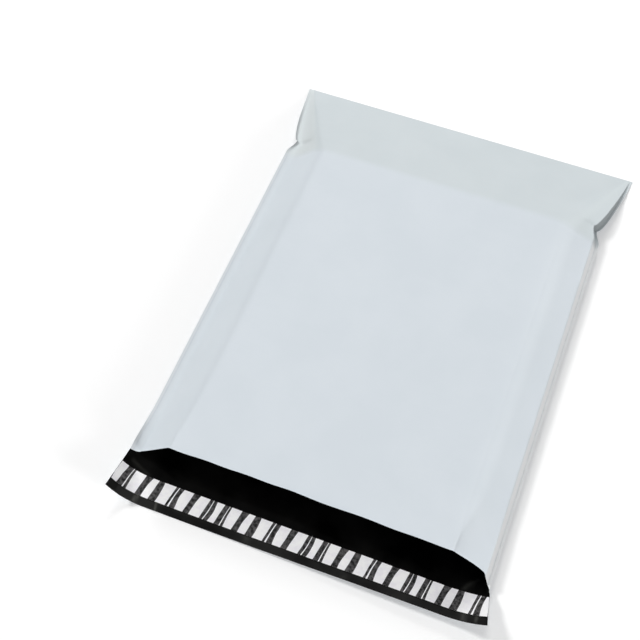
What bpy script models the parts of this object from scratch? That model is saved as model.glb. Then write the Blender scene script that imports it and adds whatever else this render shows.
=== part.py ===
# Poly mailer, 14.5 x 19 in, lying open on its back with the mouth towards -Y.
# One folded and side-welded film bag with a closing lip, the adhesive band
# across the lip and the printed liner that covers it.
import math
from collections import namedtuple

import bmesh
import bpy
from mathutils import Vector

# Film, as cut and welded flat
flat_width = 0.3683
flat_length = 0.4826
lip_depth = 0.0411
film_thickness = 0.0000635
weld_width = 0.0025

# The opened bag: a pillow with a flat top, slopes down to both welds and to the fold
pillow_height = 0.0320
side_draw_in = 0.0127
side_slope_run = 0.0365
fold_slope_run = 0.1030
length_taken_up = 0.0040
mouth_setback = 0.0072
pillow_sway = -0.0013
left_knee = 0.18
left_knee_rise = 0.04
right_knee = 0.10
right_knee_rise = 0.27

# How far each weld is lifted off the surface below: at the lip's end, mouth and side
left_lip_lift = 0.0181
left_mouth_lift = 0.0110
left_side_lift = 0.0055
right_lip_lift = 0.0138
right_mouth_lift = 0.0060
right_side_lift = 0.0050
left_curl_power = 3.0
left_lip_curl_power = 3.6
right_curl_power = 1.7
right_lip_curl_power = 2.6
mouth_reach = 0.0600
lift_fade = 0.0750

# Lip
lip_spread = 0.0046
lip_sway = 0.0011
lip_edge_rise = 0.0085
lip_rise_middle = 0.39
lip_rise_gain = 1.23
left_corner_pull = 0.0015
right_corner_pull = -0.0050
corner_pull_reach = 0.0120

# Ears, where the flat end of the bag keeps its full width past a pinched notch
notch_past_pillow = 0.0215
notch_depth = 0.0058
notch_half_length = 0.0170
ear_flare_power = 0.57
ear_run = 0.0030
fold_crease = 0.0012

# Strips on the lip
liner_from_lip_edge = 0.0081
liner_width = 0.0198
liner_thickness = 0.00005
adhesive_width = 0.0140
adhesive_thickness = 0.00004
strip_gap = 0.0003

# Print on the liner: slanted bars, each with its start, near width and far width in a repeat
print_repeat = 0.0980
print_slant = 0.0042
print_bars = ((0.0050, 0.0072, 0.0058), (0.0215, 0.0048, 0.0058), (0.0345, 0.0058, 0.0044),
              (0.0515, 0.0080, 0.0064), (0.0690, 0.0046, 0.0054), (0.0850, 0.0064, 0.0056))
print_margin = 0.0012

# Mesh fineness
slope_columns = 10
flat_columns = 6
mouth_rows = 4
pillow_rows = 6
fold_rows = 5
lip_rows = 4
liner_span = 0.0030
strip_rows = 2

# Sizes that follow
standing_length = flat_length - length_taken_up
pillow_half_width = flat_width / 2 - side_draw_in
lip_half_width = pillow_half_width + lip_spread
pillow_end = standing_length - fold_slope_run
notch_y = pillow_end + notch_past_pillow
middle_y = (standing_length - lip_depth) / 2
weld_thickness = 2 * film_thickness
strip_middle = -lip_depth + liner_from_lip_edge + liner_width / 2

Column = namedtuple("Column", "side slope across edge")
Station = namedtuple("Station", "near_x far_x dark")


def clear_scene():
    for old in list(bpy.data.objects):
        bpy.data.objects.remove(old, do_unlink=True)


def plastic(name, colour, roughness):
    material = bpy.data.materials.new(name)
    material.use_nodes = True
    shader = material.node_tree.nodes["Principled BSDF"]
    shader.inputs["Base Color"].default_value = (*colour, 1.0)
    shader.inputs["Roughness"].default_value = roughness
    shader.inputs["Metallic"].default_value = 0.0
    return material


def ease(t):
    t = min(max(t, 0.0), 1.0)
    return t * t * (3.0 - 2.0 * t)


# Plan: half widths at a distance y from the mouth, with the lip at negative y

def half_width(y):
    if y < 0:
        return pillow_half_width + lip_spread * min(1.0, -y / lip_depth)
    notch = pillow_half_width - notch_depth
    if y > notch_y:
        into_ear = (y - notch_y) / (standing_length - notch_y)
        return notch + (flat_width / 2 - notch) * into_ear ** ear_flare_power
    return pillow_half_width - notch_depth * ease(1.0 - (notch_y - y) / notch_half_length)


def ridge_half_width(y):
    pillow = pillow_half_width - weld_width - side_slope_run
    corner = flat_width / 2 - weld_width - ear_run
    return pillow + (corner - pillow) * max(0.0, (y - pillow_end) / fold_slope_run)


# Heights of the two skins

def ridge_height(y):
    left_to_fold = min(1.0, (standing_length - y) / fold_slope_run)
    return weld_thickness + (pillow_height - weld_thickness) * left_to_fold


def weld_lift(side, y):
    lip, mouth, along = left_lip_lift, left_mouth_lift, left_side_lift
    if side > 0:
        lip, mouth, along = right_lip_lift, right_mouth_lift, right_side_lift
    if y < 0:
        return mouth + (lip - mouth) * (-y / lip_depth)
    opened = mouth + (along - mouth) * ease(y / mouth_reach)
    return opened * ease((standing_length - y) / lift_fade)


def curl_power(side, y):
    power, on_lip = left_curl_power, left_lip_curl_power
    if side > 0:
        power, on_lip = right_curl_power, right_lip_curl_power
    return power + (on_lip - power) * max(0.0, -y / lip_depth)


def back_height_at(x, y):
    inside_weld = half_width(y) - weld_width
    slope = (inside_weld - abs(x)) / (inside_weld - ridge_half_width(y))
    side = -1 if x < 0 else 1
    curl = weld_lift(side, y) * (1.0 - min(slope, 1.0)) ** curl_power(side, y)
    if y >= 0:
        return curl
    rising = ease(lip_rise_middle + lip_rise_gain * x / flat_width)
    return curl + lip_edge_rise * (-y / lip_depth) ** 2 * rising


def corner_pull(x, y):
    pull = left_corner_pull if x < 0 else right_corner_pull
    reach = corner_pull_reach if y < 0 else mouth_reach
    return pull * (abs(x) / half_width(y)) ** 40 * (1.0 - ease(abs(y) / reach))


# How far the bag's middle line runs off to one side

def sway(y):
    if y < 0:
        return pillow_sway + (lip_sway - pillow_sway) * (-y / lip_depth)
    return pillow_sway * ease((standing_length - y) / fold_slope_run)


# A column runs the length of the bag: on the weld's edge, on a side slope or on the flat

def slope_stations(knee):
    above = slope_columns - 2
    return [0.0, knee / 2] + [knee + (1.0 - knee) * n / above for n in range(above)]


def columns():
    left = [Column(-1, c, 0.0, False) for c in slope_stations(left_knee)]
    right = [Column(1, c, 0.0, False) for c in reversed(slope_stations(right_knee))]
    flats = [2.0 * n / flat_columns - 1.0 for n in range(flat_columns + 1)]
    middle = [Column(0, 1.0, a, False) for a in flats]
    return [Column(-1, 0.0, 0.0, True)] + left + middle + right + [Column(1, 0.0, 0.0, True)]


def plan_x(column, y):
    inside_weld = half_width(y) - weld_width
    ridge = ridge_half_width(y)
    if column.edge:
        return column.side * half_width(y)
    if column.side:
        return column.side * (inside_weld + (ridge - inside_weld) * column.slope)
    return column.across * ridge


def slope_rise(column):
    knee, knee_rise = left_knee, left_knee_rise
    if column.side > 0:
        knee, knee_rise = right_knee, right_knee_rise
    if column.slope < knee:
        return knee_rise * column.slope / knee
    return knee_rise + (1.0 - knee_rise) * (column.slope - knee) / (1.0 - knee)


def front_height(column, y):
    if not column.side:
        return ridge_height(y)
    back = back_height_at(plan_x(column, y), y)
    return back + weld_thickness + (ridge_height(y) - weld_thickness) * slope_rise(column)


def placed(x, y, height, setback=0.0):
    across = abs(x) / half_width(y)
    moved = y + corner_pull(x, y) + setback * (1.0 - across ** 14)
    return Vector((x + sway(y), moved - middle_y, height))


def front_point(column, y):
    setback = mouth_setback * (1.0 - ease(y / pillow_end))
    return placed(plan_x(column, y), y, front_height(column, y), setback)


def back_point(column, y):
    x = plan_x(column, y)
    return placed(x, y, back_height_at(x, y))


# A skin moved off along its own upward normals

def skin_normals(points):
    rows, count = len(points), len(points[0])
    normals = []
    for r in range(rows):
        line = []
        for c in range(count):
            along = points[min(r + 1, rows - 1)][c] - points[max(r - 1, 0)][c]
            sideways = points[r][min(c + 1, count - 1)] - points[r][max(c - 1, 0)]
            line.append(sideways.cross(along).normalized())
        normals.append(line)
    return normals


def offset(points, distance):
    normals = skin_normals(points)
    return [[p + n * distance for p, n in zip(line, facing)]
            for line, facing in zip(points, normals)]


# Quads are split the same way on both skins, so that the skins never cross

def split_face(bm, a, b, c, d, mirrored=False):
    corners = []
    for vert in (a, b, c, d):
        if vert not in corners:
            corners.append(vert)
    if len(corners) < 3:
        return []
    if len(corners) == 3:
        return [bm.faces.new(corners)]
    if mirrored:
        return [bm.faces.new((b, c, d)), bm.faces.new((b, d, a))]
    return [bm.faces.new((a, b, c)), bm.faces.new((a, c, d))]


def grid_faces(bm, rows, first=0, last=None):
    last = len(rows[0]) - 1 if last is None else last
    middle = len(rows[0]) // 2
    for near, far in zip(rows, rows[1:]):
        for c in range(first, last):
            split_face(bm, near[c], near[c + 1], far[c + 1], far[c], c < middle)


def edge_faces(bm, upper, lower):
    for n in range(len(upper) - 1):
        split_face(bm, upper[n], upper[n + 1], lower[n + 1], lower[n])


def verts_for(bm, points):
    return [[bm.verts.new(p) for p in line] for line in points]


def finish_mesh(name, bm, *materials):
    bmesh.ops.recalc_face_normals(bm, faces=bm.faces)
    mesh = bpy.data.meshes.new(name)
    bm.to_mesh(mesh)
    bm.free()
    mesh.shade_smooth()
    mesh.set_sharp_from_angle(angle=math.radians(35))
    for material in materials:
        mesh.materials.append(material)
    node = bpy.data.objects.new(name, mesh)
    bpy.context.scene.collection.objects.link(node)


# Rows of faces, as distances from the mouth, close together where the shape turns

def bag_rows():
    mouth = [mouth_reach * (n / mouth_rows) ** 2 for n in range(mouth_rows)]
    pillow_step = (pillow_end - mouth_reach) / pillow_rows
    pillow = [mouth_reach + pillow_step * n for n in range(pillow_rows + 1)]
    notch = [notch_y + notch_half_length * n / 2 for n in range(-2, 4)]
    fold_step = (standing_length - fold_crease - notch[-1]) / fold_rows
    fold = [notch[-1] + fold_step * n for n in range(1, fold_rows + 1)]
    return mouth + pillow + notch + fold + [standing_length]


def lip_row_list():
    return [-lip_depth * n / lip_rows for n in range(1, lip_rows + 1)]


# The bag: outer skins front and back, the pocket between them and the single-film lip

def build_bag(material_outside, material_inside):
    across = columns()
    last = len(across) - 1
    rows = bag_rows()
    front_outer = [[front_point(c, y) for c in across] for y in rows]
    back_outer = [[back_point(c, y) for c in across] for y in rows]
    lip_outer = [[back_point(c, y) for c in across] for y in lip_row_list()]

    front_inner = offset(front_outer, -film_thickness)
    whole_back = offset(list(reversed(lip_outer)) + back_outer, film_thickness)
    lip_inner = list(reversed(whole_back[:lip_rows]))
    back_inner = whole_back[lip_rows:]

    bm = bmesh.new()
    outer_front = verts_for(bm, front_outer)
    outer_back = verts_for(bm, back_outer)
    lip_under = verts_for(bm, lip_outer)
    lip_top = verts_for(bm, lip_inner)
    corner_tops = {c: bm.verts.new(back_inner[0][c]) for c in (0, last)}

    # The pocket's two skins meet along both welds and just before the fold
    inner_front, inner_back = [], []
    for r in range(len(rows) - 1):
        front_line, back_line = [None] * len(across), [None] * len(across)
        for c in range(1, last):
            if r == len(rows) - 2 or c in (1, last - 1):
                between = (front_outer[r][c] + back_outer[r][c]) / 2
                front_line[c] = back_line[c] = bm.verts.new(between)
            else:
                front_line[c] = bm.verts.new(front_inner[r][c])
                back_line[c] = bm.verts.new(back_inner[r][c])
        inner_front.append(front_line)
        inner_back.append(back_line)

    grid_faces(bm, outer_front)
    grid_faces(bm, [outer_back[0]] + lip_under)
    grid_faces(bm, outer_back)
    grid_faces(bm, inner_front, 1, last - 1)
    grid_faces(bm, inner_back, 1, last - 1)
    mouth_floor = list(inner_back[0])
    mouth_floor[0], mouth_floor[last] = corner_tops[0], corner_tops[last]
    grid_faces(bm, [mouth_floor] + lip_top)

    edge_faces(bm, outer_front[-1], outer_back[-1])
    edge_faces(bm, outer_front[0][1:last], inner_front[0][1:last])
    edge_faces(bm, lip_top[-1], lip_under[-1])
    for c, inward in ((0, 1), (last, last - 1)):
        top = corner_tops[c]
        edge_faces(bm, [row[c] for row in outer_front[1:]], [row[c] for row in outer_back[1:]])
        bm.faces.new((top, outer_front[0][c], outer_front[1][c]))
        bm.faces.new((top, outer_front[1][c], outer_back[1][c]))
        bm.faces.new((top, outer_back[1][c], outer_back[0][c]))
        edge_faces(bm, [top] + [row[c] for row in lip_top],
                   [outer_back[0][c]] + [row[c] for row in lip_under])
        split_face(bm, outer_front[0][c], outer_front[0][inward], inner_front[0][inward], top)

    inside = {v for row in inner_front + inner_back + lip_top for v in row if v}
    inside.update(corner_tops.values())
    for face in bm.faces:
        face.material_index = 1 if all(v in inside for v in face.verts) else 0
    finish_mesh("film_bag", bm, material_outside, material_inside)


# Strips across the lip, each a given height above the black side of the film

def lip_point(x, y, above_film):
    step = weld_width / 2
    here = placed(x, y, back_height_at(x, y))
    sideways = placed(x + step, y, back_height_at(x + step, y)) - here
    along = placed(x, y + step, back_height_at(x, y + step)) - here
    return here + sideways.cross(along).normalized() * (film_thickness + above_film)


def liner_stations(near_y, far_y):
    near_end, far_end = half_width(near_y), half_width(far_y)
    bars = []
    repeats = math.ceil(2 * near_end / print_repeat)
    for n in range(repeats):
        for start, near_width, far_width in print_bars:
            near_x = -near_end + n * print_repeat + start
            far_x = near_x + print_slant
            if max(near_x + near_width, far_x + far_width) < far_end - print_margin:
                bars.append(Station(near_x, far_x, True))
                bars.append(Station(near_x + near_width, far_x + far_width, False))
    return [Station(-near_end, -far_end, False)] + bars + [Station(near_end, far_end, False)]


def filled_in(stations):
    fine = [stations[0]]
    for before, after in zip(stations, stations[1:]):
        parts = max(1, math.ceil((after.near_x - before.near_x) / liner_span))
        for n in range(1, parts + 1):
            t = n / parts
            near_x = before.near_x + (after.near_x - before.near_x) * t
            far_x = before.far_x + (after.far_x - before.far_x) * t
            fine.append(Station(near_x, far_x, after.dark if n == parts else before.dark))
    return fine


def strip_skin(bm, stations, width, above_film):
    skin = []
    for row in range(strip_rows + 1):
        t = row / strip_rows
        y = strip_middle + width * (t - 0.5)
        xs = [s.near_x + (s.far_x - s.near_x) * t for s in stations]
        skin.append([bm.verts.new(lip_point(x, y, above_film)) for x in xs])
    return skin


def build_strip(name, stations, width, above_film, thickness, *materials):
    bm = bmesh.new()
    under = strip_skin(bm, stations, width, above_film)
    top = strip_skin(bm, stations, width, above_film + thickness)
    grid_faces(bm, under)
    for near, far in zip(top, top[1:]):
        for n, station in enumerate(stations[:-1]):
            for face in split_face(bm, near[n], near[n + 1], far[n + 1], far[n]):
                face.material_index = 1 if station.dark else 0
    edge_faces(bm, top[0], under[0])
    edge_faces(bm, top[-1], under[-1])
    for c in (0, -1):
        edge_faces(bm, [row[c] for row in top], [row[c] for row in under])
    finish_mesh(name, bm, *materials)


def main():
    clear_scene()
    white_film = plastic("white_film", (0.66, 0.71, 0.75), 0.4)
    black_film = plastic("black_film", (0.006, 0.006, 0.007), 0.3)
    tacky_clear = plastic("adhesive", (0.62, 0.58, 0.48), 0.25)
    liner_white = plastic("liner_white", (0.80, 0.80, 0.82), 0.3)
    liner_print = plastic("liner_print", (0.035, 0.034, 0.032), 0.35)

    build_bag(white_film, black_film)

    near_y = strip_middle - liner_width / 2
    far_y = strip_middle + liner_width / 2
    printed = filled_in(liner_stations(near_y, far_y))
    plain = [Station(s.near_x, s.far_x, False) for s in filled_in([printed[0], printed[-1]])]
    build_strip("adhesive_strip", plain, adhesive_width, strip_gap,
                adhesive_thickness, tacky_clear)
    build_strip("release_liner", printed, liner_width, 2 * strip_gap + adhesive_thickness,
                liner_thickness, liner_white, liner_print)


main()
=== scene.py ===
import math

import bpy
import numpy as np
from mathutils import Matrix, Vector, noise


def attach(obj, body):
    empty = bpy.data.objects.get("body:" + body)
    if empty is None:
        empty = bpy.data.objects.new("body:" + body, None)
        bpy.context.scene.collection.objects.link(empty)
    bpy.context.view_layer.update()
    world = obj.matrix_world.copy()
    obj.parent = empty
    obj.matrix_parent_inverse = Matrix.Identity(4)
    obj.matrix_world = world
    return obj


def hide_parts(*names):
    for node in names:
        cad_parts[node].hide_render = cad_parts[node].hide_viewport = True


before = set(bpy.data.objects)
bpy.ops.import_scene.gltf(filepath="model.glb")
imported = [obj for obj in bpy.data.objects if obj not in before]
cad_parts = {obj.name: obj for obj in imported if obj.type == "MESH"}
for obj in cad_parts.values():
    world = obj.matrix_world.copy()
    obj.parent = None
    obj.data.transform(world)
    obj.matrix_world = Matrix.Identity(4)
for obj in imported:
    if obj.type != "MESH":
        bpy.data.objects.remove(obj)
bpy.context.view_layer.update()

print("poly mailer: frame loaded,", len(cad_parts), "solids")

# The bag's shape, in metres. y counts from the mouth to the fold, and the lip is at negative y.
# A pair is for the left and the right side, but the two rounds are at the mouth and further in.
bag = dict(
    width=0.3683, length=0.4826, lipDepth=0.0411, film=0.0000635, weld=0.0025,
    height=0.0320, drawIn=0.0127, slopeRun=0.0365, foldRun=0.1030, takenUp=0.0040,
    setback=0.0060, setbackPower=14, pillowSway=-0.0013, lipSway=0.0011,
    knee=(0.18, 0.10), kneeRise=(0.04, 0.27), earKneeRise=(0.11, 0.43), earBlend=0.030,
    kneeRound=(0.005, 0.060), ridgeRound=(0.014, 0.300), roundReach=0.08, foldRound=0.0018,
    lipLift=(0.0181, 0.0138), mouthLift=(0.0110, 0.0060), sideLift=(0.0055, 0.0050),
    curlPower=(3.0, 1.7), lipCurlPower=(3.6, 2.6), mouthReach=0.0600, liftFade=0.0750,
    lipSpread=0.0046, lipEdgeRise=0.0085, riseMiddle=0.39, riseGain=1.23,
    cornerPull=(0.0015, -0.0050), pullReach=0.0120, pullPower=40,
    notchPast=0.0215, notchDepth=0.0058, notchLength=0.0170, earFlare=0.57, earRun=0.0030,
)
pillowHalf = bag["width"] / 2 - bag["drawIn"]
standLength = bag["length"] - bag["takenUp"]
pillowEnd = standLength - bag["foldRun"]
notchY = pillowEnd + bag["notchPast"]
middleY = (standLength - bag["lipDepth"]) / 2
plies = 2 * bag["film"]


def ease(t):  # 0 to 1, slow at both ends
    t = np.clip(t, 0.0, 1.0)
    return t * t * (3.0 - 2.0 * t)


def softMin(a, b, k):  # the lower of two, with the corner between them rounded over k
    h = np.maximum(k - np.abs(a - b), 0.0) / k
    return np.minimum(a, b) - h * h * k / 4


def softMax(a, b, k):
    return -softMin(-a, -b, k)


def sided(x, pair):
    return np.where(x < 0, pair[0], pair[1])


def grain(x, y, seed, sizeX, sizeY):  # smooth noise over the sheet, -1 to 1, the same each run
    flat = [noise.noise(Vector((a / sizeX, b / sizeY, seed))) for a, b in zip(x.ravel(), y.ravel())]
    return np.array(flat).reshape(x.shape)


def halfWidth(y):
    lip = pillowHalf + bag["lipSpread"] * np.minimum(1.0, -y / bag["lipDepth"])
    side = pillowHalf - bag["notchDepth"] * ease(1.0 - (notchY - y) / bag["notchLength"])
    notch = pillowHalf - bag["notchDepth"]
    into = np.clip((y - notchY) / (standLength - notchY), 0.0, 1.0)
    ear = notch + (bag["width"] / 2 - notch) * into ** bag["earFlare"]
    return np.where(y < 0, lip, np.where(y > notchY, ear, side))


def ridgeHalf(y):
    pillow = pillowHalf - bag["weld"] - bag["slopeRun"]
    corner = bag["width"] / 2 - bag["weld"] - bag["earRun"]
    return pillow + (corner - pillow) * np.maximum(0.0, (y - pillowEnd) / bag["foldRun"])


def ridgeHeight(y):
    down = plies + (bag["height"] - plies) * (standLength - y) / bag["foldRun"]
    return np.maximum(softMin(down, bag["height"], bag["foldRound"]), plies)


def weldLift(x, y):
    lip, mouth, side = (sided(x, bag[k]) for k in ("lipLift", "mouthLift", "sideLift"))
    onLip = mouth + (lip - mouth) * (-y / bag["lipDepth"])
    opened = mouth + (side - mouth) * ease(y / bag["mouthReach"])
    return np.where(y < 0, onLip, opened * ease((standLength - y) / bag["liftFade"]))


def slopeShare(x, y):  # 0 at the weld, 1 at the ridge, more on the flat
    inside = halfWidth(y) - bag["weld"]
    return (inside - np.abs(x)) / (inside - ridgeHalf(y))


def backHeight(x, y):
    share = np.minimum(slopeShare(x, y), 1.0)
    out = -np.minimum(y, 0) / bag["lipDepth"]
    power, onLip = sided(x, bag["curlPower"]), sided(x, bag["lipCurlPower"])
    curl = weldLift(x, y) * (1.0 - share) ** (power + (onLip - power) * out)
    rise = bag["lipEdgeRise"] * out ** 2
    return curl + rise * ease(bag["riseMiddle"] + bag["riseGain"] * x / bag["width"])


def sway(y):  # the pillow leans a little to the left of the fold, the lip to the right
    toLip = bag["pillowSway"] + (bag["lipSway"] - bag["pillowSway"]) * (-y / bag["lipDepth"])
    return np.where(y < 0, toLip, bag["pillowSway"] * ease((standLength - y) / bag["foldRun"]))


def slopeRise(x, y):  # how far up its slope the front film is, 0 to 1
    share = slopeShare(x, y)
    knee, kneeRise = sided(x, bag["knee"]), sided(x, bag["kneeRise"])
    atEar = ease((y - pillowEnd) / bag["earBlend"])
    kneeRise = kneeRise + (sided(x, bag["earKneeRise"]) - kneeRise) * atEar
    low = kneeRise * share / knee
    high = kneeRise + (1.0 - kneeRise) * (share - knee) / (1.0 - knee)
    inward = ease(y / bag["roundReach"])  # crisp at the mouth's cut edge, rounder further in
    kneeRound, ridgeRound = (
        atMouth + (within - atMouth) * inward
        for atMouth, within in (bag["kneeRound"], bag["ridgeRound"]))
    bulging = softMin(low, high, kneeRound)
    sagging = softMax(low, high, kneeRound)
    rise = np.where(x < 0, sagging, bulging)
    return np.clip(softMin(rise, 1.0, ridgeRound), 0.0, 1.0)


def moved(x, y, setback):  # where a point of the flat sheet lies along the bag
    across = np.minimum(np.abs(x) / halfWidth(y), 1.0)
    reach = np.where(y < 0, bag["pullReach"], bag["mouthReach"])
    atCorner = across ** bag["pullPower"] * (1.0 - ease(np.abs(y) / reach))
    pull = sided(x, bag["cornerPull"]) * atCorner
    return y + pull + setback * (1.0 - across ** bag["setbackPower"]) - middleY


# Soft creases pressed into the film: start and end in x and y, width, height
frontCreases = [
    ((-0.176, 0.470), (-0.110, 0.392), 0.0060, 0.0003),
    ((0.176, 0.468), (0.118, 0.396), 0.0060, 0.0003),
    ((0.130, 0.012), (0.112, 0.075), 0.0040, 0.0003),
    ((-0.132, 0.012), (-0.115, 0.060), 0.0040, 0.0003),
    ((0.166, 0.020), (0.140, 0.050), 0.0034, 0.0002),
    ((-0.160, 0.016), (-0.138, 0.044), 0.0034, 0.0002),
    ((0.060, 0.440), (0.105, 0.474), 0.0040, 0.0003),
    ((-0.040, 0.452), (-0.010, 0.476), 0.0034, 0.0003),
]
lipCreases = [
    ((-0.1310, -0.041), (-0.1325, -0.032), 0.0010, 0.0007),
    ((-0.1525, -0.040), (-0.1500, -0.028), 0.0014, 0.0007),
    ((0.1560, -0.040), (0.1530, -0.026), 0.0016, 0.0004),
    ((0.1660, -0.039), (0.1665, -0.029), 0.0012, 0.0004),
    ((-0.1660, -0.006), (-0.1480, -0.012), 0.0016, 0.0005),
    ((0.1600, 0.004), (0.1500, -0.011), 0.0018, 0.0006),
    ((0.0500, -0.040), (0.0520, -0.034), 0.0012, 0.0003),
    ((-0.0450, -0.040), (-0.0440, -0.034), 0.0012, 0.0003),
]
creaseEnds = dict(startGain=4, startShare=0.6, lastShare=1.25, lastGain=2.5)


def creased(x, y, creases):
    total = np.zeros_like(x)
    for (x0, y0), (x1, y1), wide, high in creases:
        dx, dy = x1 - x0, y1 - y0
        t = ((x - x0) * dx + (y - y0) * dy) / (dx * dx + dy * dy)
        off = np.hypot(x - x0 - dx * np.clip(t, 0, 1), y - y0 - dy * np.clip(t, 0, 1))
        begun = ease(t * creaseEnds["startGain"] + creaseEnds["startShare"])
        ended = ease((creaseEnds["lastShare"] - t) * creaseEnds["lastGain"])
        total += high * np.exp(-(off / wide) ** 2) * begun * ended
    return total


# Ripples of the lip and of the front film: height, then the grain's seed and size in x and y
lipRipples = dict(
    wave=(0.00030, (4.3, 0.050, 0.030)), waveRun=0.010,
    edge=(0.00040, (8.1, 0.024, 0.090)), edgeStart=0.030, edgeRun=0.010,
    linerNear=0.0345, linerFar=0.0105, linerFade=0.002,
)
frontRipples = dict(
    flat=(0.00055, (1.7, 0.120, 0.085)), fine=(0.00022, (5.2, 0.035, 0.050)), flatGain=3.0,
    slope=(0.00055, (2.9, 0.050, 0.017)), slopeStart=0.25, slopeEnd=1.15, slopeFade=0.3,
    fold=(0.00035, (6.6, 0.030, 0.060)), foldFade=0.03,
    ridgeHeight=0.00028, ridgeWidth=0.0016, ridgeSide=0.05, ridgeFade=0.02,
    freeHeight=0.004,
)


def rippled(x, y, ripple, share):
    height, place = ripple
    return height * share * grain(x, y, *place)


def backPoints(x, y):
    r = lipRipples
    wave = rippled(x, y, r["wave"], ease(-y / r["waveRun"]))
    edge = rippled(x, y, r["edge"], ease((-y - r["edgeStart"]) / r["edgeRun"]))
    nearSide = ease((y + r["linerNear"]) / r["linerFade"])
    farSide = ease((-r["linerFar"] - y) / r["linerFade"])
    creases = np.maximum(creased(x, y, lipCreases), 0.0) * (1.0 - nearSide * farSide)
    z = np.maximum(backHeight(x, y) + wave + edge, 0.0) + creases
    return np.stack([x + sway(y), moved(x, y, 0.0), z], -1)


def frontPoints(x, y):
    r = frontRipples
    share = slopeShare(x, y)
    setback = bag["setback"] * (1.0 - ease(y / pillowEnd))
    base = backHeight(x, y) + plies
    z = base + (ridgeHeight(y) - plies) * slopeRise(x, y)
    free = ease((z - base) / r["freeHeight"])  # no ripple where the two skins meet
    onFlat = ease((share - 1.0) * r["flatGain"])
    onSlope = ease(share / r["slopeStart"]) * ease((r["slopeEnd"] - share) / r["slopeFade"])
    ripple = rippled(x, y, r["flat"], onFlat)
    ripple += rippled(x, y, r["fine"], onFlat)
    ripple += rippled(x, y, r["slope"], onSlope)
    ripple += rippled(x, y, r["fold"], ease((y - pillowEnd) / r["foldFade"]))
    off = (np.abs(x) - ridgeHalf(y)) / r["ridgeWidth"]
    onPillow = ease(0.5 + x / r["ridgeSide"]) * ease((pillowEnd - y) / r["ridgeFade"])
    ripple += r["ridgeHeight"] * np.exp(-off * off) * onPillow
    z = z + free * (ripple + creased(x, y, frontCreases))
    return np.stack([x + sway(y), moved(x, y, setback), z], -1)


# Masks for the front film's painted light, painted shade and weld line, 0 to 1. Three numbers are
# how strong one is, the share of the slope where it ends towards the ridge, and the share that it
# takes to fade in.
shades = dict(
    foldAhead=0.004, foldRun=0.012,
    slope=(1.0, 1.24, 0.44), weldAhead=0.05, weldRun=0.15,
    rightLow=0.2, rightFrom=0.20, rightRun=0.60,
    rightStrip=(1.0, 0.13, 0.05), leftStrip=(0.10, 0.20, 0.10), leftWeld=(0.26, 0.03, 0.06),
    leftEar=(0.20, 1.05, 0.30),
    lineWidth=0.00035, lineMean=0.75, lineChange=0.8, lineLeast=0.2, lineGrain=(3.1, 0.5, 0.0035),
    lineOnFold=0.8,
)


def upTo(share, reach):
    amount, end, run = reach
    return amount * ease((end - share) / run)


# the white film's tint on the fold's slope is painted shade; this mask also sets the softness there
# and fades the weld line
def foldMask(y):
    return ease((y - pillowEnd + shades["foldAhead"]) / shades["foldRun"])


# painted light: where each side slope's colour is made paler, to even out how the lamps fall on it
def sideMask(x, y, side):
    share = slopeShare(x, y)
    across = upTo(share, shades["slope"]) * ease((share + shades["weldAhead"]) / shades["weldRun"])
    gain = ease((share - shades["rightFrom"]) / shades["rightRun"])
    towardsRidge = np.where(x < 0, 1.0, shades["rightLow"] + (1 - shades["rightLow"]) * gain)
    return across * towardsRidge * (np.sign(x) == side)


def thinMask(x, y):  # painted light: the film by the welds is made paler where it lies in shade, most at the right
    share = slopeShare(x, y)
    left = upTo(share, shades["leftStrip"]) + upTo(share, shades["leftWeld"])
    strip = np.where(x > 0, upTo(share, shades["rightStrip"]), left)
    ear = np.where(x > 0, 0.0, upTo(share, shades["leftEar"]))
    return strip + (ear - strip) * foldMask(y)


def weldMask(x, y):  # the thin line where the heated bar pressed, a little broken along its length
    off = (halfWidth(y) - bag["weld"] - np.abs(x)) / shades["lineWidth"]
    broken = shades["lineMean"] + shades["lineChange"] * grain(x, y, *shades["lineGrain"])
    broken = np.clip(broken, shades["lineLeast"], 1.0)
    return np.exp(-off * off) * broken * (1.0 - shades["lineOnFold"] * foldMask(y))


# Where the columns and rows of the sheet lie, close together where it turns
weldColumns = (0.0, 0.0004, 0.0010, 0.0016, 0.0021)  # metres in from the trimmed edge
slopeSteps = 19  # even steps up the slope, and the shares of it where more are added
slopeColumns = (0.03, 0.06, 0.09, 0.12, 0.15, 0.18, 0.21, 0.25, 0.91, 0.93, 0.96, 0.98)
ridgeColumns = (0.006, 0.012, 0.020, 0.032, 0.050, 0.075)  # shares in from the ridge
flatColumns = (0.10, 0.89, 18)  # first and last share of the flat, and how many
middleColumn = 0.033  # the last one by the middle line
rowSpans = [  # first and last row in metres from the mouth, and how many
    (0, 0.0032, 12), (0.0046, 0.060, 24), (0.065, pillowEnd - 0.011, 60),
    (pillowEnd - 0.009, pillowEnd + 0.009, 13), (notchY - 0.012, notchY + 0.012, 17),
    (notchY + 0.0145, standLength - 0.0030, 30), (standLength - 0.0022, standLength, 6),
]
lipRows = 24


def sheetX(y):
    edge, weldIn, ridge = halfWidth(y), halfWidth(y) - bag["weld"], ridgeHalf(y)
    shares = sorted(set(np.round(np.linspace(0, 1, slopeSteps), 4)) | set(slopeColumns))
    outer = [edge - inwards for inwards in weldColumns]
    slope = [weldIn + (ridge - weldIn) * share for share in shares]
    near = [ridge * (1 - share) for share in ridgeColumns]
    flat = [ridge * share for share in np.linspace(*flatColumns)[::-1]] + [ridge * middleColumn]
    right = np.stack(outer + slope + near + flat, -1)
    return np.concatenate([-right, right[:, ::-1]], axis=1)


def sheetGrid(ys):
    x = sheetX(ys)
    return x, np.repeat(ys[:, None], x.shape[1], axis=1)


def unit(n):
    return n / np.linalg.norm(n, axis=-1, keepdims=True)


def normalsOf(p):
    return unit(np.cross(np.gradient(p, axis=1), np.gradient(p, axis=0)))


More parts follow.
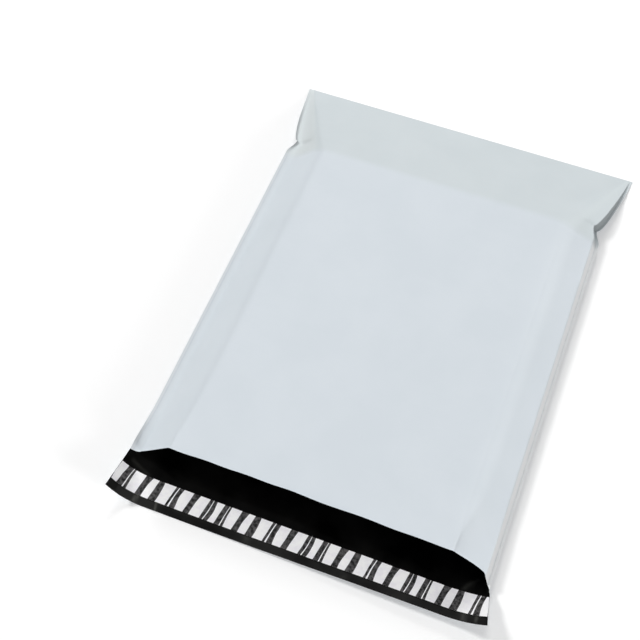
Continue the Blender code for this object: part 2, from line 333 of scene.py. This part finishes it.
# The rim's roll: where it lies flat again near the welds, and how unevenly it turns
rolled = dict(
    radius=0.0015, length=0.0030, flatFrom=0.945, flatRun=0.03,
    mean=0.75, change=0.35, grain=(9.4, 0.030, 1.0), least=1e-3,
)


def rolledRim(p, x, y):  # the front panel's cut edge turns up and shows the black inner side
    radius, length = rolled["radius"], rolled["length"]
    first = int(np.argmax(y[:, 0] >= length))
    n, start = normalsOf(p)[first], p[first]
    keep = 1.0 - ease((np.abs(x[first]) / pillowHalf - rolled["flatFrom"]) / rolled["flatRun"])
    lively = rolled["mean"] + rolled["change"] * grain(x[first], y[first], *rolled["grain"])
    bend = np.maximum(lively * keep, rolled["least"])
    for row in range(first):
        angle = (length - y[row, 0]) / radius * lively * keep
        ahead = np.sin(angle) * radius / bend
        up = (1.0 - np.cos(angle)) * radius / bend
        straight = np.zeros_like(angle)
        flat = start + np.stack([straight, y[row] - length, straight], -1)
        curled = start + n * up[:, None]
        curled[:, 1] -= ahead
        share = keep[:, None]
        p[row] = flat + (curled - flat) * share + (p[row] - flat) * (1 - share)
    return p


sharpDegrees = 40  # edges that turn more than this stay crisp


class Sheets:  # vertices and faces of one closed skin, gathered before the mesh is made
    def __init__(self):
        self.points, self.faces, self.stuff, self.masks = [], [], [], {}

    def grid(self, p, **masks):
        start = len(self.points)
        self.points.extend(map(tuple, p.reshape(-1, 3)))
        for name, values in masks.items():
            self.masks.setdefault(name, []).append((start, values.ravel()))
        return np.arange(start, len(self.points)).reshape(p.shape[:2])

    def quad(self, a, b, c, d, stuff, mirrored=False):
        corners = [a, b, c, d]
        parts = ((b, c, d), (b, d, a)) if mirrored else ((a, b, c), (a, c, d))
        if len(set(corners)) < 4:
            parts = (tuple(dict.fromkeys(corners)),)
        for part in parts:
            if len(set(part)) == 3:
                self.faces.append(part)
                self.stuff.append(stuff)

    def cover(self, g, stuff, up=True):
        middle = g.shape[1] // 2
        for r in range(g.shape[0] - 1):
            for c in range(g.shape[1] - 1):
                a, b, d, e = g[r, c], g[r, c + 1], g[r + 1, c + 1], g[r + 1, c]
                if up:
                    self.quad(a, b, d, e, stuff, c < middle)
                else:
                    self.quad(b, a, e, d, stuff, c >= middle)

    def rim(self, upper, lower, stuff):
        for n in range(len(upper) - 1):
            self.quad(upper[n], lower[n], lower[n + 1], upper[n + 1], stuff)

    def build(self, name, materials):
        points = [tuple(map(float, p)) for p in self.points]
        faces = [tuple(map(int, f)) for f in self.faces]
        mesh = bpy.data.meshes.new(name)
        mesh.from_pydata(points, [], faces)
        for material in materials:
            mesh.materials.append(material)
        mesh.polygons.foreach_set("material_index", self.stuff)
        mesh.validate()
        for label, parts in self.masks.items():
            whole = np.zeros(len(mesh.vertices))
            for start, values in parts:
                whole[start:start + len(values)] = values
            mesh.attributes.new(label, "FLOAT", "POINT").data.foreach_set("value", whole)
        mesh.shade_smooth()
        mesh.set_sharp_from_angle(angle=math.radians(sharpDegrees))
        piece = bpy.data.objects.new(name, mesh)
        bpy.context.scene.collection.objects.link(piece)
        return piece


white, black, dark = range(3)  # the bag's materials: outer side, the lip's inner side, and the pocket, whose film is darkened as painted shade
underLiner = 12  # the lip's row, hidden by the liner, where the pocket's darker film, painted shade, begins
pleatHeight = 0.0006  # a pleat this high takes the whole painted highlight


def makeBag(materials):
    film = bag["film"]
    x, y = sheetGrid(np.concatenate([np.linspace(*span) for span in rowSpans]))
    lipX, lipY = sheetGrid(np.linspace(0, -bag["lipDepth"], lipRows)[1:])
    front = rolledRim(frontPoints(x, y), x, y)
    back, lip = backPoints(x, y), backPoints(lipX, lipY)
    front[..., 2] = np.maximum(front[..., 2], back[..., 2] + plies)
    frontIn = front - normalsOf(front) * film
    wholeBack = np.concatenate([lip[::-1], back])
    wholeIn = wholeBack + normalsOf(wholeBack) * film
    lipIn, backIn = wholeIn[:len(lip)][::-1], wholeIn[len(lip):]

    s = Sheets()
    # the front film's masks for painted light, painted shade and its weld line
    outFront = s.grid(
        front, foldSlope=foldMask(y), leftSlope=sideMask(x, y, -1),
        rightSlope=sideMask(x, y, 1), thinned=thinMask(x, y), weldLine=weldMask(x, y))
    outBack = s.grid(back)
    # painted highlight: the lip's pleats are made paler, as if they caught the light
    pleats = np.clip(creased(lipX, lipY, lipCreases) / pleatHeight, 0.0, 1.0)
    lipUnder, lipTop = s.grid(lip), s.grid(lipIn, pleats=pleats)
    floorLine = s.grid(backIn[:1])[0]
    inFront, inBack = s.grid(frontIn), s.grid(backIn)
    inBack[0] = floorLine
    middle = s.grid((front + back) / 2)
    last = x.shape[1] - 1
    weldAt = len(weldColumns)
    for g in (inFront, inBack):  # the two inner skins meet along both welds and at the fold
        g[:, weldAt] = middle[:, weldAt]
        g[:, last - weldAt] = middle[:, last - weldAt]
        g[-1] = middle[-1]
    between = slice(weldAt, last - weldAt + 1)
    s.cover(outFront, white)
    s.cover(np.concatenate([lipUnder[::-1], outBack]), white, up=False)
    s.cover(inFront[:-1, between], dark, up=False)
    s.cover(inBack[:-1, between], dark)
    s.cover(lipTop[underLiner - 1:][::-1], black)
    s.cover(np.concatenate([lipTop[:underLiner][::-1], [inBack[0]]]), dark)
    s.rim(outFront[-1][::-1], outBack[-1][::-1], white)
    s.rim(lipTop[-1], lipUnder[-1], black)
    # the mouth's cut edge, from weld to weld, and the pocket's end just before the fold
    s.rim(outFront[0, between], inFront[0, between], dark)
    s.rim(inFront[-2, between][::-1], inBack[-2, between][::-1], dark)
    # over both welds the front panel stands on the lip film's own top
    leftWeld = np.append(inBack[0, :weldAt], inFront[0, weldAt])
    rightWeld = np.append(inFront[0, last - weldAt], inBack[0, last - weldAt + 1:])
    s.rim(outFront[0, :weldAt + 1], leftWeld, dark)
    s.rim(outFront[0, last - weldAt:], rightWeld, dark)
    # the trimmed sides of the pocket and of the lip
    for side, turn in ((0, 1), (last, -1)):
        upper = np.concatenate([[inBack[0, side]], lipTop[:, side]])
        lower = np.concatenate([[outBack[0, side]], lipUnder[:, side]])
        s.rim(outFront[:, side][::-turn], outBack[:, side][::-turn], white)
        s.rim(upper[::turn], lower[::turn], white)
    return s.build("filmBag", materials)


# Clear hot melt on the lip, hidden by the liner: sizes in metres, grain as in the ripples
band = dict(
    width=0.0140, lift=0.00012, foot=0.00003, height=0.00016, endGap=0.0006,
    rows=11, columns=141, crownPower=4, crownMean=0.85, crownChange=0.15,
    crownGrain=(2.2, 0.006, 0.004), wander=0.0004, wanderGrain=(3.3, 0.012, 0.5),
)
# Release liner over it, a thin strip across the whole lip
liner = dict(
    fromLipEdge=0.0081, width=0.0198, lift=0.00040, thick=0.00005, rows=15, columnWidth=0.0022,
    wave=0.00016, waveGrain=(7.7, 0.030, 0.030), endLift=0.0006, endRun=0.010,
)
stripMiddle = -bag["lipDepth"] + liner["fromLipEdge"] + liner["width"] / 2
surfaceStep = 0.0008  # how far apart the lip is read to find which way it faces
plain, ink = range(2)  # a strip's own film, and the liner's dark print


def lipSurface(x, y, above):  # points at a height over the lip's inner side
    here = backPoints(x, y)
    sideways = backPoints(x + surfaceStep, y) - here
    along = backPoints(x, y + surfaceStep) - here
    lift = np.broadcast_to(bag["film"] + above, x.shape)[..., None]
    return here + unit(np.cross(sideways, along)) * lift


def closeStrip(s, top, under, kinds):
    for r in range(top.shape[0] - 1):
        for c in range(top.shape[1] - 1):
            s.quad(top[r, c], top[r, c + 1], top[r + 1, c + 1], top[r + 1, c], kinds[c])
            s.quad(under[r, c + 1], under[r, c], under[r + 1, c], under[r + 1, c + 1], plain)
    s.rim(top[0], under[0], plain)
    s.rim(top[-1][::-1], under[-1][::-1], plain)
    s.rim(top[:, 0][::-1], under[:, 0][::-1], plain)
    s.rim(top[:, -1], under[:, -1], plain)


def makeBand(materials):
    t = np.linspace(0, 1, band["rows"])
    aside = 2 * t[:, None] - 1
    ys = stripMiddle + band["width"] * (t - 0.5)
    edge = halfWidth(ys) - band["endGap"]
    x = edge[:, None] * np.linspace(-1, 1, band["columns"])[None, :]
    y = np.repeat(ys[:, None], x.shape[1], axis=1)
    y = y + band["wander"] * grain(x, y, *band["wanderGrain"]) * aside
    uneven = band["crownMean"] + band["crownChange"] * grain(x, y, *band["crownGrain"])
    crown = band["height"] * (1 - np.abs(aside) ** band["crownPower"]) * uneven
    s = Sheets()
    top = s.grid(lipSurface(x, y, band["lift"] + band["foot"] + crown))
    under = s.grid(lipSurface(x, y, band["lift"]))
    closeStrip(s, top, under, [plain] * (band["columns"] - 1))
    return s.build("adhesiveBand", materials)


# The liner's print, in metres along one repeat: start, near, middle and far width of each dark bar.
# A split is a thin pale line in a bar: where across the bar, and its share of the bar's width.
linerPrint = dict(
    repeat=0.0945, slant=0.0042, margin=0.0012,
    wander=0.00030, wanderSeeds=(0.4, 7.9), wanderScale=2.4, barScale=3.7,
    bars=[
        (0.0040, 0.0086, 0.0074, 0.0070), (0.0208, 0.0060, 0.0056, 0.0070),
        (0.0338, 0.0070, 0.0068, 0.0056), (0.0505, 0.0096, 0.0078, 0.0080),
        (0.0682, 0.0058, 0.0056, 0.0066), (0.0842, 0.0080, 0.0084, 0.0070),
    ],
    splits={0: (0.62, 0.11), 3: (0.30, 0.15), 5: (0.42, 0.10)},
    splitLean=0.10, splitNear=1.15, splitTaper=0.5,
)


def barSides(bar, origin, t, n):
    start, near, middle, far = bar
    left = origin + start + linerPrint["slant"] * t
    wide = near + (far - near) * t + (2 * middle - near - far) * 2 * t * (1 - t)
    wander = []
    for seed in linerPrint["wanderSeeds"]:
        places = [(a * linerPrint["wanderScale"], seed, n * linerPrint["barScale"]) for a in t]
        wander.append(linerPrint["wander"] * np.array([noise.noise(Vector(p)) for p in places]))
    return left + wander[0], left + wide + wander[1]


def linerLines(t, end, nearEnd):  # the bars' edges from left to right, and what lies between them
    lines, kinds = [-end], []
    limit = end - linerPrint["margin"]
    for n in range(math.ceil(2 * nearEnd / linerPrint["repeat"])):
        for m, bar in enumerate(linerPrint["bars"]):
            left, right = barSides(bar, n * linerPrint["repeat"] - nearEnd, t, 10 * n + m)
            if (right > limit).any() or (left < -limit).any():
                continue
            lines.append(left)
            kinds += [plain, ink]
            if m in linerPrint["splits"]:
                place, share = linerPrint["splits"][m]
                across = right - left
                line = left + across * (place + linerPrint["splitLean"] * (t - 0.5))
                taper = linerPrint["splitNear"] - linerPrint["splitTaper"] * t
                lines += [line, line + across * share * taper]
                kinds += [plain, ink]
            lines.append(right)
    return lines + [end], kinds + [plain]


def makeLiner(materials):
    t = np.linspace(0, 1, liner["rows"])
    ys = stripMiddle + liner["width"] * (t - 0.5)
    nearEnd, farEnd = float(halfWidth(ys[0])), float(halfWidth(ys[-1]))
    lines, between = linerLines(t, nearEnd + (farEnd - nearEnd) * t, nearEnd)
    columns, kinds = [lines[0]], []
    for left, right, kind in zip(lines, lines[1:], between):
        parts = max(1, math.ceil(float((right - left).max()) / liner["columnWidth"]))
        for part in range(1, parts + 1):
            columns.append(left + (right - left) * part / parts)
            kinds.append(kind)
    x = np.stack(columns, axis=1)
    y = np.repeat(ys[:, None], x.shape[1], axis=1)
    lift = liner["lift"] + liner["wave"] * (1 + grain(x, y, *liner["waveGrain"]))
    atEnd = ease((np.abs(x) - nearEnd + liner["endRun"]) / liner["endRun"])
    lift = lift + liner["endLift"] * atEnd * ease(np.abs(2 * t - 1))[:, None]
    s = Sheets()
    top = s.grid(lipSurface(x, y, lift + liner["thick"]))
    under = s.grid(lipSurface(x, y, lift))
    closeStrip(s, top, under, kinds)
    return s.build("releaseLiner", materials)


# Materials: a node with its settings and input values, and a group with numbers as its inputs
def addNode(nodes, kind, values=None, **settings):
    node = nodes.new(kind)
    for label, value in settings.items():
        setattr(node, label, value)
    for label, value in (values or {}).items():
        node.inputs[label].default_value = value
    return node


def mathNode(nodes, links, operation, a, b):
    node = addNode(nodes, "ShaderNodeMath", operation=operation)
    for socket, value in zip(node.inputs, (a, b)):
        if isinstance(value, (int, float)):
            socket.default_value = value
        else:
            links.new(value, socket)
    return node.outputs[0]


def nodeGroup(name, inputs, outputs):
    group = bpy.data.node_groups.new(name, "ShaderNodeTree")
    for label, value in inputs.items():
        socket = group.interface.new_socket(
            name=label, in_out="INPUT", socket_type="NodeSocketFloat")
        socket.default_value = value
    for label, kind in outputs.items():
        group.interface.new_socket(name=label, in_out="OUTPUT", socket_type=kind)
    given, out = group.nodes.new("NodeGroupInput"), group.nodes.new("NodeGroupOutput")
    return group, given.outputs, out.inputs


shadeAndHeight = dict(Shade="NodeSocketFloat", Height="NodeSocketFloat")


def makeFilmGrain():
    # cloudy thickness, faint die lines along the web and small handling dents of blown film; on the
    # black films the cloudy shade is a painted sheen
    group, given, out = nodeGroup(
        "filmGrain", dict(Cloud=0.5, Dents=0.5, Lines=0.5), shadeAndHeight)
    nodes, links = group.nodes, group.links
    place = addNode(nodes, "ShaderNodeTexCoord").outputs["Object"]
    cloud = addNode(nodes, "ShaderNodeTexNoise", dict(Scale=22, Detail=3))
    links.new(place, cloud.inputs["Vector"])
    stretch = addNode(nodes, "ShaderNodeMapping", dict(Scale=(6, 420, 60)))
    links.new(place, stretch.inputs["Vector"])
    dieLines = addNode(nodes, "ShaderNodeTexNoise", dict(Scale=1, Detail=2))
    links.new(stretch.outputs["Vector"], dieLines.inputs["Vector"])
    dents = addNode(nodes, "ShaderNodeTexNoise", dict(Scale=130, Detail=4, Roughness=0.45))
    links.new(place, dents.inputs["Vector"])
    spread = addNode(nodes, "ShaderNodeMapRange", {"From Min": 0.36, "From Max": 0.64})
    links.new(cloud.outputs["Fac"], spread.inputs["Value"])
    cloudy = mathNode(nodes, links, "MULTIPLY", spread.outputs["Result"], given["Cloud"])
    lined = mathNode(nodes, links, "MULTIPLY", dieLines.outputs["Fac"], given["Lines"])
    dented = mathNode(nodes, links, "MULTIPLY", dents.outputs["Fac"], given["Dents"])
    links.new(mathNode(nodes, links, "ADD", cloudy, lined), out["Shade"])
    links.new(mathNode(nodes, links, "ADD", dented, lined), out["Height"])
    return group


def makeInkMottle():
    # uneven ink: darker and paler specks inside one printed field
    group, given, out = nodeGroup("inkMottle", dict(Scale=300.0, Contrast=0.5), shadeAndHeight)
    nodes, links = group.nodes, group.links
    place = addNode(nodes, "ShaderNodeTexCoord").outputs["Object"]
    coarse = addNode(nodes, "ShaderNodeTexNoise", dict(Detail=5, Roughness=0.65))
    links.new(place, coarse.inputs["Vector"])
    links.new(given["Scale"], coarse.inputs["Scale"])
    spread = addNode(nodes, "ShaderNodeMapRange", {"From Min": 0.40, "From Max": 0.62})
    links.new(coarse.outputs["Fac"], spread.inputs["Value"])
    speckled = mathNode(nodes, links, "MULTIPLY", spread.outputs["Result"], given["Contrast"])
    links.new(speckled, out["Shade"])
    links.new(coarse.outputs["Fac"], out["Height"])
    return group


def makeSoftFold():
    # thin milky film scatters light sideways, so its folds shade more softly than their true slope
    group, given, out = nodeGroup("softFold", dict(Softness=0.5), dict(Normal="NodeSocketVector"))
    nodes, links = group.nodes, group.links
    normal = addNode(nodes, "ShaderNodeNewGeometry").outputs["Normal"]
    parts = addNode(nodes, "ShaderNodeSeparateXYZ")
    links.new(normal, parts.inputs["Vector"])
    flat = addNode(nodes, "ShaderNodeCombineXYZ")
    links.new(mathNode(nodes, links, "SIGN", parts.outputs["Z"], 0.0), flat.inputs["Z"])
    blend = addNode(nodes, "ShaderNodeMix", data_type="VECTOR")
    links.new(given["Softness"], blend.inputs["Factor"])
    links.new(normal, blend.inputs["A"])
    links.new(flat.outputs["Vector"], blend.inputs["B"])
    level = addNode(nodes, "ShaderNodeVectorMath", operation="NORMALIZE")
    links.new(blend.outputs["Result"], level.inputs["Vector"])
    links.new(level.outputs["Vector"], out["Normal"])
    return group


def meshMask(nodes, name):
    return addNode(nodes, "ShaderNodeAttribute", attribute_name=name).outputs["Fac"]


def maskTint(nodes, links, colour, mask, tint):  # lays a tint over a colour where a mesh mask says
    tinted = addNode(nodes, "ShaderNodeMix", data_type="RGBA", blend_type="MULTIPLY")
    tinted.inputs["B"].default_value = (*tint, 1)
    links.new(meshMask(nodes, mask), tinted.inputs["Factor"])
    links.new(colour, tinted.inputs["A"])
    return tinted.outputs["Result"]


def foldSoftness(nodes, links, softness):  # one softness on the flat, another on the fold's slope
    values = {"To Min": softness[0], "To Max": softness[1]}
    spread = addNode(nodes, "ShaderNodeMapRange", values)
    links.new(meshMask(nodes, "foldSlope"), spread.inputs["Value"])
    return spread.outputs["Result"]


# A look is its colour and the shade that it takes where its detail group says, its roughness from
# and to, its bump, and the tints of its mesh masks, where more than 1 is paler. Softness is even,
# or a pair for the flat and the fold's slope.
looks = dict(
    whiteFilm=dict(
        colour=(0.672, 0.722, 0.766), shaded=(0.650, 0.702, 0.746), rough=(0.50, 0.62),
        bump=0.30, depth=0.0002, specular=0.30, softness=(0.72, 0.88),
        # painted shade on the fold's slope, painted light on the side slopes and along the weld
        # strips
        tints=dict(
            foldSlope=(0.960, 0.967, 0.940), leftSlope=(1.052, 1.056, 1.052),
            rightSlope=(1.036, 1.034, 1.028), thinned=(1.44, 1.36, 1.29),
            weldLine=(0.86, 0.88, 0.90)),
        detail="filmGrain", amounts=dict(Cloud=0.8, Dents=0.7, Lines=0.25)),
    blackFilm=dict(
        # painted sheen: the shaded colour's grey patches stand in for the film's uneven reflections
        colour=(0.0006, 0.0006, 0.0006), shaded=(0.0220, 0.0220, 0.0212), rough=(0.08, 0.14),
        # the tint on the pleats is a painted highlight
        bump=0.25, depth=0.0002, specular=0.08, tints=dict(pleats=(4.0, 4.0, 3.8)),
        detail="filmGrain", amounts=dict(Cloud=0.7, Dents=0.8, Lines=0.1)),
    # painted shade: the pocket's inside is the black film darkened to 0.3 and made less glossy
    pocketFilm=dict(
        colour=(0.00018, 0.00018, 0.00018), shaded=(0.0066, 0.0066, 0.00636), rough=(0.08, 0.14),
        bump=0.25, depth=0.0002, specular=0.015, tints=dict(pleats=(4.0, 4.0, 3.8)),
        detail="filmGrain", amounts=dict(Cloud=0.7, Dents=0.8, Lines=0.1)),
    linerPale=dict(
        colour=(1.00, 1.00, 1.00), shaded=(0.90, 0.885, 0.93), rough=(0.24, 0.36),
        bump=0.2, depth=0.0001, specular=0.4, softness=0.75,
        detail="inkMottle", amounts=dict(Scale=130.0, Contrast=0.9)),
    linerInk=dict(
        colour=(0.004, 0.004, 0.004), shaded=(0.115, 0.111, 0.113), rough=(0.28, 0.42),
        bump=0.2, depth=0.0001, specular=0.2,
        detail="inkMottle", amounts=dict(Scale=330.0, Contrast=0.9)),
    hotMelt=dict(
        colour=(0.72, 0.66, 0.50), shaded=(0.60, 0.54, 0.38), rough=(0.12, 0.26),
        bump=0.4, depth=0.0002, specular=0.5,
        detail="inkMottle", amounts=dict(Scale=200.0, Contrast=0.6)),
)
groups = dict(filmGrain=makeFilmGrain(), inkMottle=makeInkMottle(), softFold=makeSoftFold())


def surface(name):
    look = looks[name]
    material = bpy.data.materials.new(name)
    material.use_nodes = True
    nodes, links = material.node_tree.nodes, material.node_tree.links
    shader = nodes["Principled BSDF"]
    shader.inputs["Metallic"].default_value = 0.0
    shader.inputs["IOR"].default_value = 1.5
    shader.inputs["Specular IOR Level"].default_value = look["specular"]
    detail = addNode(nodes, "ShaderNodeGroup", node_tree=groups[look["detail"]])
    for label, value in look["amounts"].items():
        detail.inputs[label].default_value = value
    mix = addNode(nodes, "ShaderNodeMix", data_type="RGBA")
    mix.inputs["A"].default_value = (*look["colour"], 1)
    mix.inputs["B"].default_value = (*look["shaded"], 1)
    links.new(detail.outputs["Shade"], mix.inputs["Factor"])
    colour = mix.outputs["Result"]
    for mask, tint in look.get("tints", {}).items():
        colour = maskTint(nodes, links, colour, mask, tint)
    links.new(colour, shader.inputs["Base Color"])
    values = {"To Min": look["rough"][0], "To Max": look["rough"][1]}
    rough = addNode(nodes, "ShaderNodeMapRange", values)
    links.new(detail.outputs["Height"], rough.inputs["Value"])
    links.new(rough.outputs["Result"], shader.inputs["Roughness"])
    bump = addNode(nodes, "ShaderNodeBump", dict(Strength=look["bump"], Distance=look["depth"]))
    links.new(detail.outputs["Height"], bump.inputs["Height"])
    if "softness" in look:
        soft = addNode(nodes, "ShaderNodeGroup", node_tree=groups["softFold"])
        if isinstance(look["softness"], tuple):
            links.new(foldSoftness(nodes, links, look["softness"]), soft.inputs["Softness"])
        else:
            soft.inputs["Softness"].default_value = look["softness"]
        links.new(soft.outputs["Normal"], bump.inputs["Normal"])
    links.new(bump.outputs["Normal"], shader.inputs["Normal"])
    return material


bagFilms = [surface(name) for name in ("whiteFilm", "blackFilm", "pocketFilm")]
linerFilms = [surface(name) for name in ("linerPale", "linerInk")]
hotMelt = surface("hotMelt")
print("poly mailer: materials made")

filmBag = makeBag(bagFilms)
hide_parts("film_bag")
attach(filmBag, "root")
print("poly mailer: bag made,", len(filmBag.data.polygons), "faces")

adhesiveBand = makeBand([hotMelt])
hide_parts("adhesive_strip")
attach(adhesiveBand, "root")

releaseLiner = makeLiner(linerFilms)
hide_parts("release_liner")
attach(releaseLiner, "root")
print("poly mailer: lip strips made,", len(releaseLiner.data.polygons), "faces on the liner")

# Floor, light and camera
studio = dict(
    floorColour=(0.97, 0.97, 0.97), floorRough=0.9, floorSpecular=0.1, floorGlow=0.085,
    floorReach=2.5, floorHeight=-0.0004, worldLight=0.40,
    lamps=dict(
        keyLamp=dict(towards=(-0.760, 0.140, 0.634), away=9.0, size=2.0, power=390.0),
        backLamp=dict(towards=(-0.229, 0.853, 0.469), away=9.0, size=3.0, power=305.0),
        fillLamp=dict(towards=(0.97, -0.17, 0.18), away=9.0, size=4.0, power=610.0)),
)


def seenDirectly(nodes, links):  # 1 for what the camera sees, also in gloss and through clear parts
    path = addNode(nodes, "ShaderNodeLightPath").outputs
    seen = mathNode(nodes, links, "MAXIMUM", path["Is Camera Ray"], path["Is Glossy Ray"])
    return mathNode(nodes, links, "MAXIMUM", seen, path["Is Transmission Ray"])


def makeFloor():
    mesh = bpy.data.meshes.new("floor")
    reach, height = studio["floorReach"], studio["floorHeight"]
    corners = [(-reach, -reach), (reach, -reach), (reach, reach), (-reach, reach)]
    mesh.from_pydata([(*corner, height) for corner in corners], [], [(0, 1, 2, 3)])
    floor = bpy.data.objects.new("floor", mesh)
    bpy.context.scene.collection.objects.link(floor)
    material = bpy.data.materials.new("paleFloor")
    material.use_nodes = True
    nodes, links = material.node_tree.nodes, material.node_tree.links
    shader = nodes["Principled BSDF"]
    shader.inputs["Base Color"].default_value = (*studio["floorColour"], 1)
    shader.inputs["Roughness"].default_value = studio["floorRough"]
    shader.inputs["Specular IOR Level"].default_value = studio["floorSpecular"]
    shader.inputs["Emission Color"].default_value = (1, 1, 1, 1)
    glow = mathNode(nodes, links, "MULTIPLY", seenDirectly(nodes, links), studio["floorGlow"])
    links.new(glow, shader.inputs["Emission Strength"])
    mesh.materials.append(material)


def makeWorld():  # an even dim room that looks white to the camera
    world = bpy.data.worlds.new("studio")
    bpy.context.scene.world = world
    world.use_nodes = True
    nodes, links = world.node_tree.nodes, world.node_tree.links
    background = nodes["Background"]
    background.inputs["Color"].default_value = (1, 1, 1, 1)
    light = studio["worldLight"]
    share = mathNode(nodes, links, "MULTIPLY", seenDirectly(nodes, links), 1.0 - light)
    links.new(mathNode(nodes, links, "ADD", share, light), background.inputs["Strength"])


def makeLamp(name, lamp):
    data = bpy.data.lights.new(name, "AREA")
    data.shape = "DISK"
    data.size = lamp["size"]
    data.energy = lamp["power"]
    lampObject = bpy.data.objects.new(name, data)
    bpy.context.scene.collection.objects.link(lampObject)
    towards = Vector(lamp["towards"]).normalized()
    lampObject.location = towards * lamp["away"]
    lampObject.rotation_mode = "QUATERNION"
    lampObject.rotation_quaternion = towards.to_track_quat("Z", "Y")
    lampObject.visible_glossy = False  # the dark film mirrors only the pale room


view = dict(
    azimuth=21.112, elevation=58.564, target=(-0.06393, 0.19905 - middleY, 0.0),
    distance=1.13565, lens=64.855, sensor=36.0, clip=(0.01, 50),
)


def makeCamera():
    data = bpy.data.cameras.new("camera")
    data.sensor_width = view["sensor"]
    data.lens = view["lens"]
    data.clip_start, data.clip_end = view["clip"]
    camera = bpy.data.objects.new("camera", data)
    bpy.context.scene.collection.objects.link(camera)
    a, e = math.radians(view["azimuth"]), math.radians(view["elevation"])
    back = Vector((math.sin(a) * math.cos(e), -math.cos(a) * math.cos(e), math.sin(e)))
    camera.location = Vector(view["target"]) + back * view["distance"]
    camera.rotation_mode = "QUATERNION"
    camera.rotation_quaternion = (-back).to_track_quat("-Z", "Y")
    bpy.context.scene.camera = camera


makeFloor()
makeWorld()
for lampName, lamp in studio["lamps"].items():
    makeLamp(lampName, lamp)
makeCamera()
bpy.context.scene.view_settings.view_transform = "Standard"
print("poly mailer: floor, light and camera set")
